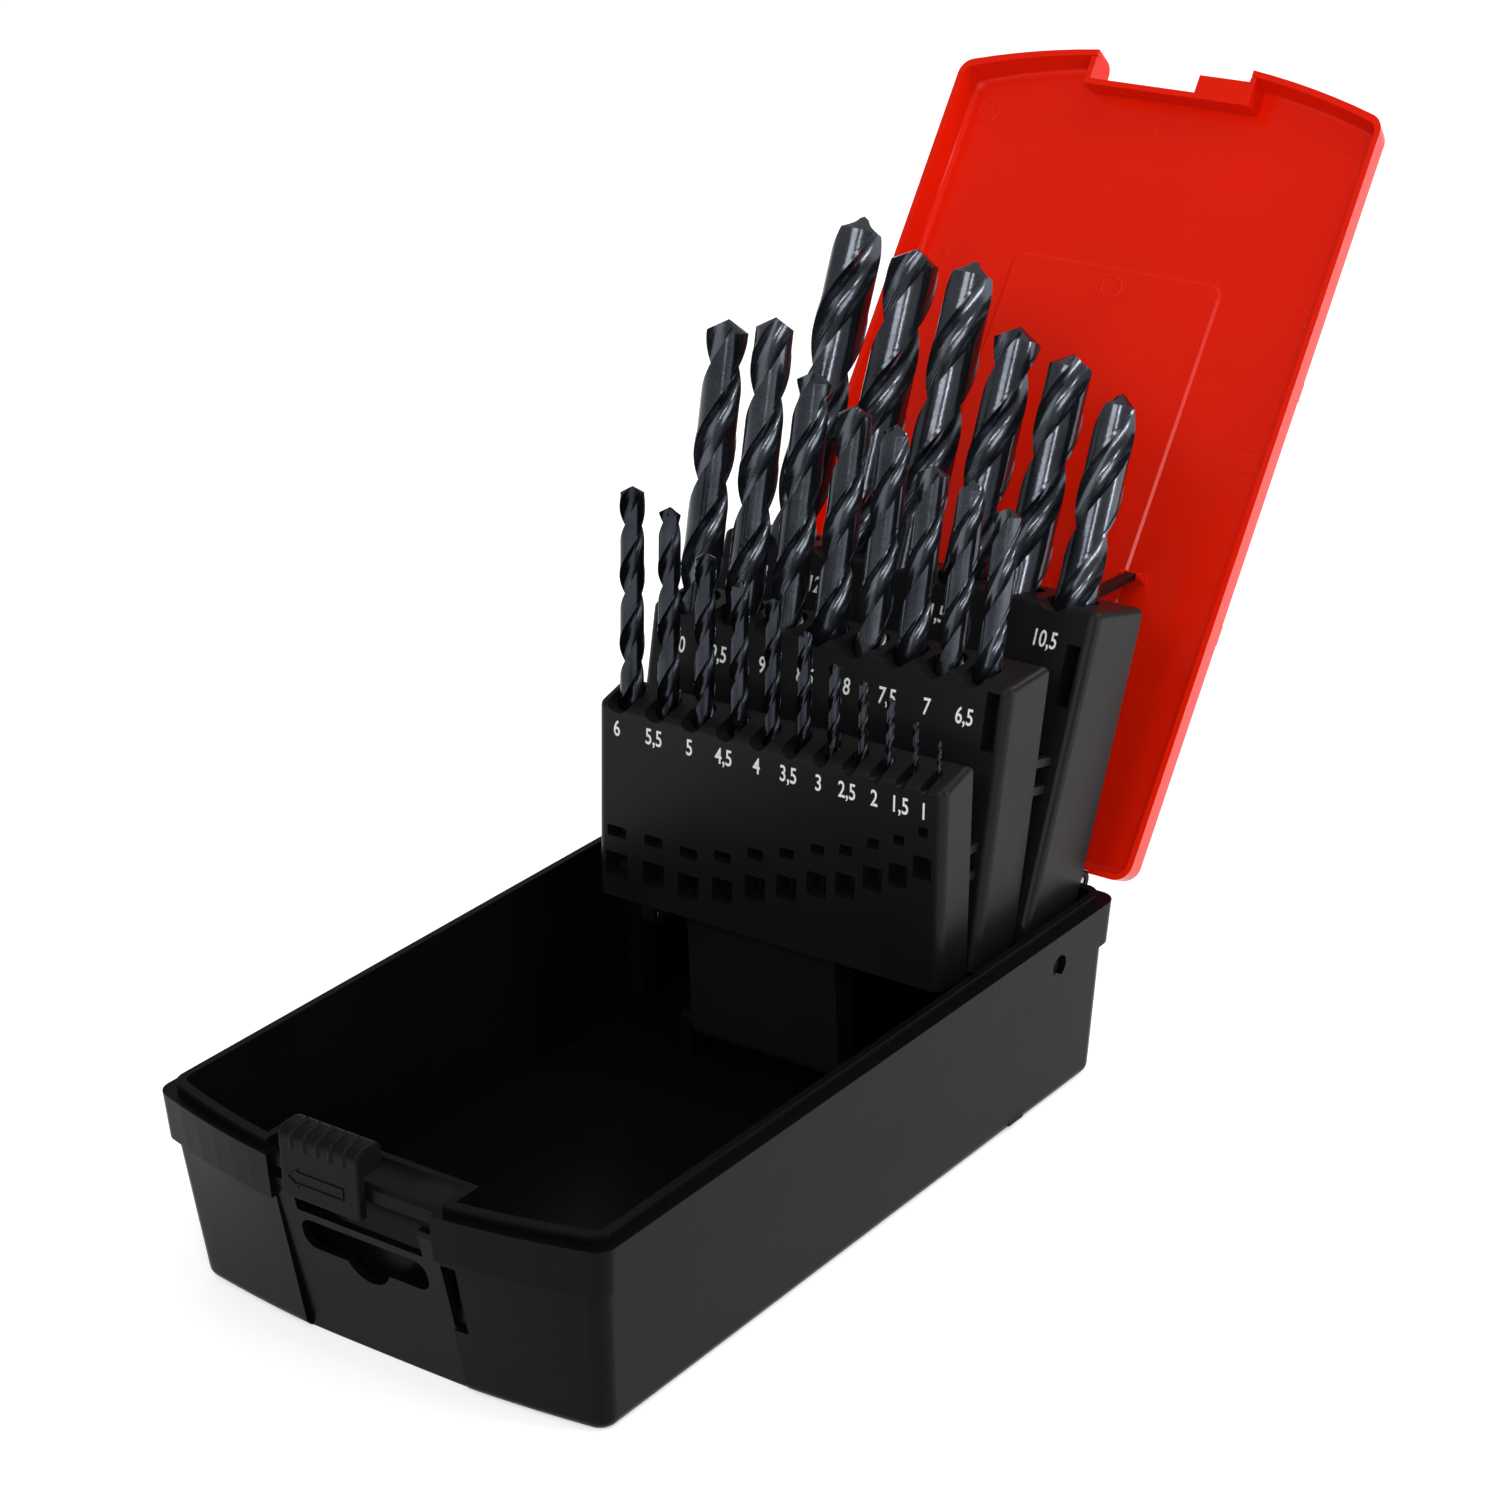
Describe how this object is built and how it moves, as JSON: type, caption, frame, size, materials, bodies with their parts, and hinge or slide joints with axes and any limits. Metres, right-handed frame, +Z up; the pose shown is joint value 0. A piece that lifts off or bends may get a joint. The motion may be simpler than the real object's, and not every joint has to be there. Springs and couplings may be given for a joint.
{
  "type": "drill bit case",
  "caption": "Plastic drill cassette with a hinged lid, sliding latch and tip-up racks that hold twist drills in size order.",
  "frame": {"origin": "middle of the tray's flat underside", "axes": "+X to the right seen from the latch, +Y from the latch towards the lid hinge, +Z up"},
  "size_m": [0.123, 0.3348, 0.214],
  "materials": {
    "tray_plastic": "moulded black, fine satin grain",
    "rack_plastic": "moulded black, satin",
    "latch_plastic": "moulded black, satin",
    "lid_plastic": "moulded red-orange, satin gloss",
    "drill_steel": "blued, ground and oiled",
    "pin_steel": "plain drawn wire"
  },
  "bodies": {
    "tray": {"case_base": "tray_plastic"},
    "lid": {"lid": "lid_plastic", "hinge_pin_left": "pin_steel", "hinge_pin_right": "pin_steel"},
    "latch": {"latch_slider": "latch_plastic"},
    "rack_front": {"rack_front": "rack_plastic", "pivot_pin_front": "pin_steel"},
    "rack_middle": {"rack_middle": "rack_plastic", "pivot_pin_middle_left": "pin_steel", "pivot_pin_middle_right": "pin_steel"},
    "rack_rear": {"rack_rear": "rack_plastic"},
    "lid_link_left": {"lid_link_left": "rack_plastic"},
    "lid_link_right": {"lid_link_right": "rack_plastic"},
    "drill_06_0": {"drill_06_0": "drill_steel"},
    "drill_05_5": {"drill_05_5": "drill_steel"},
    "drill_05_0": {"drill_05_0": "drill_steel"},
    "drill_04_5": {"drill_04_5": "drill_steel"},
    "drill_04_0": {"drill_04_0": "drill_steel"},
    "drill_03_5": {"drill_03_5": "drill_steel"},
    "drill_03_0": {"drill_03_0": "drill_steel"},
    "drill_02_5": {"drill_02_5": "drill_steel"},
    "drill_02_0": {"drill_02_0": "drill_steel"},
    "drill_01_5": {"drill_01_5": "drill_steel"},
    "drill_01_0": {"drill_01_0": "drill_steel"},
    "drill_10_0": {"drill_10_0": "drill_steel"},
    "drill_09_5": {"drill_09_5": "drill_steel"},
    "drill_09_0": {"drill_09_0": "drill_steel"},
    "drill_08_5": {"drill_08_5": "drill_steel"},
    "drill_08_0": {"drill_08_0": "drill_steel"},
    "drill_07_5": {"drill_07_5": "drill_steel"},
    "drill_07_0": {"drill_07_0": "drill_steel"},
    "drill_06_5": {"drill_06_5": "drill_steel"},
    "drill_13_0": {"drill_13_0": "drill_steel"},
    "drill_12_5": {"drill_12_5": "drill_steel"},
    "drill_12_0": {"drill_12_0": "drill_steel"},
    "drill_11_5": {"drill_11_5": "drill_steel"},
    "drill_11_0": {"drill_11_0": "drill_steel"},
    "drill_10_5": {"drill_10_5": "drill_steel"}
  },
  "joints": [
    {"name": "lid_hinge", "type": "hinge", "parent": "tray", "child": "lid", "pos_m": [0, 0.1008, 0.0466], "axis": [1, 0, 0], "range_deg": [0, 126]},
    {"name": "latch_slide", "type": "slide", "parent": "tray", "child": "latch", "axis": [1, 0, 0], "range_m": [0, 0.0135]},
    {"name": "rack_front_hinge", "type": "hinge", "parent": "tray", "child": "rack_front", "pos_m": [0, 0.046, 0.0114], "axis": [1, 0, 0], "range_deg": [0, 93.45]},
    {"name": "rack_middle_hinge", "type": "hinge", "parent": "tray", "child": "rack_middle", "pos_m": [0, 0.061, 0.0278], "axis": [1, 0, 0], "range_deg": [0, 103.1]},
    {"name": "rack_rear_hinge", "type": "hinge", "parent": "tray", "child": "rack_rear", "pos_m": [0, 0.0728, 0.0386], "axis": [1, 0, 0], "range_deg": [0, 113.9]},
    {"name": "lid_link_left_hinge", "type": "hinge", "parent": "rack_rear", "child": "lid_link_left", "pos_m": [-0.033, 0.11712, 0.10701], "axis": [1, 0, 0], "range_deg": [-111, 0]},
    {"name": "lid_link_right_hinge", "type": "hinge", "parent": "rack_rear", "child": "lid_link_right", "pos_m": [0.033, 0.11712, 0.10701], "axis": [1, 0, 0], "range_deg": [-111, 0]},
    {"name": "drill_06_0_slide", "type": "slide", "parent": "rack_front", "child": "drill_06_0", "axis": [0, -0.0602, -0.9982], "range_m": [-0.0473, 0]},
    {"name": "drill_05_5_slide", "type": "slide", "parent": "rack_front", "child": "drill_05_5", "axis": [0, -0.0602, -0.9982], "range_m": [-0.0503, 0]},
    {"name": "drill_05_0_slide", "type": "slide", "parent": "rack_front", "child": "drill_05_0", "axis": [0, -0.0602, -0.9982], "range_m": [-0.0523, 0]},
    {"name": "drill_04_5_slide", "type": "slide", "parent": "rack_front", "child": "drill_04_5", "axis": [0, -0.0602, -0.9982], "range_m": [-0.0508, 0]},
    {"name": "drill_04_0_slide", "type": "slide", "parent": "rack_front", "child": "drill_04_0", "axis": [0, -0.0602, -0.9982], "range_m": [-0.0483, 0]},
    {"name": "drill_03_5_slide", "type": "slide", "parent": "rack_front", "child": "drill_03_5", "axis": [0, -0.0602, -0.9982], "range_m": [-0.0493, 0]},
    {"name": "drill_03_0_slide", "type": "slide", "parent": "rack_front", "child": "drill_03_0", "axis": [0, -0.0602, -0.9982], "range_m": [-0.0463, 0]},
    {"name": "drill_02_5_slide", "type": "slide", "parent": "rack_front", "child": "drill_02_5", "axis": [0, -0.0602, -0.9982], "range_m": [-0.0448, 0]},
    {"name": "drill_02_0_slide", "type": "slide", "parent": "rack_front", "child": "drill_02_0", "axis": [0, -0.0602, -0.9982], "range_m": [-0.0393, 0]},
    {"name": "drill_01_5_slide", "type": "slide", "parent": "rack_front", "child": "drill_01_5", "axis": [0, -0.0602, -0.9982], "range_m": [-0.0343, 0]},
    {"name": "drill_01_0_slide", "type": "slide", "parent": "rack_front", "child": "drill_01_0", "axis": [0, -0.0602, -0.9982], "range_m": [-0.0313, 0]},
    {"name": "drill_10_0_slide", "type": "slide", "parent": "rack_middle", "child": "drill_10_0", "axis": [0, -0.2267, -0.974], "range_m": [-0.071, 0]},
    {"name": "drill_09_5_slide", "type": "slide", "parent": "rack_middle", "child": "drill_09_5", "axis": [0, -0.2267, -0.974], "range_m": [-0.0605, 0]},
    {"name": "drill_09_0_slide", "type": "slide", "parent": "rack_middle", "child": "drill_09_0", "axis": [0, -0.2267, -0.974], "range_m": [-0.071, 0]},
    {"name": "drill_08_5_slide", "type": "slide", "parent": "rack_middle", "child": "drill_08_5", "axis": [0, -0.2267, -0.974], "range_m": [-0.069, 0]},
    {"name": "drill_08_0_slide", "type": "slide", "parent": "rack_middle", "child": "drill_08_0", "axis": [0, -0.2267, -0.974], "range_m": [-0.0715, 0]},
    {"name": "drill_07_5_slide", "type": "slide", "parent": "rack_middle", "child": "drill_07_5", "axis": [0, -0.2267, -0.974], "range_m": [-0.071, 0]},
    {"name": "drill_07_0_slide", "type": "slide", "parent": "rack_middle", "child": "drill_07_0", "axis": [0, -0.2267, -0.974], "range_m": [-0.0725, 0]},
    {"name": "drill_06_5_slide", "type": "slide", "parent": "rack_middle", "child": "drill_06_5", "axis": [0, -0.2267, -0.974], "range_m": [-0.069, 0]},
    {"name": "drill_13_0_slide", "type": "slide", "parent": "rack_rear", "child": "drill_13_0", "axis": [0, -0.4051, -0.9143], "range_m": [-0.0759, 0]},
    {"name": "drill_12_5_slide", "type": "slide", "parent": "rack_rear", "child": "drill_12_5", "axis": [0, -0.4051, -0.9143], "range_m": [-0.0814, 0]},
    {"name": "drill_12_0_slide", "type": "slide", "parent": "rack_rear", "child": "drill_12_0", "axis": [0, -0.4051, -0.9143], "range_m": [-0.0819, 0]},
    {"name": "drill_11_5_slide", "type": "slide", "parent": "rack_rear", "child": "drill_11_5", "axis": [0, -0.4051, -0.9143], "range_m": [-0.0864, 0]},
    {"name": "drill_11_0_slide", "type": "slide", "parent": "rack_rear", "child": "drill_11_0", "axis": [0, -0.4051, -0.9143], "range_m": [-0.0904, 0]},
    {"name": "drill_10_5_slide", "type": "slide", "parent": "rack_rear", "child": "drill_10_5", "axis": [0, -0.4051, -0.9143], "range_m": [-0.0884, 0]}
  ],
  "couplings": [
    {"joint": "rack_front_hinge", "follows": "lid_hinge", "ratio": 0.74167},
    {"joint": "rack_middle_hinge", "follows": "lid_hinge", "ratio": 0.81825},
    {"joint": "rack_rear_hinge", "follows": "lid_hinge", "ratio": 0.90397},
    {"joint": "lid_link_left_hinge", "follows": "lid_hinge", "ratio": -0.88095},
    {"joint": "lid_link_right_hinge", "follows": "lid_hinge", "ratio": -0.88095}
  ]
}
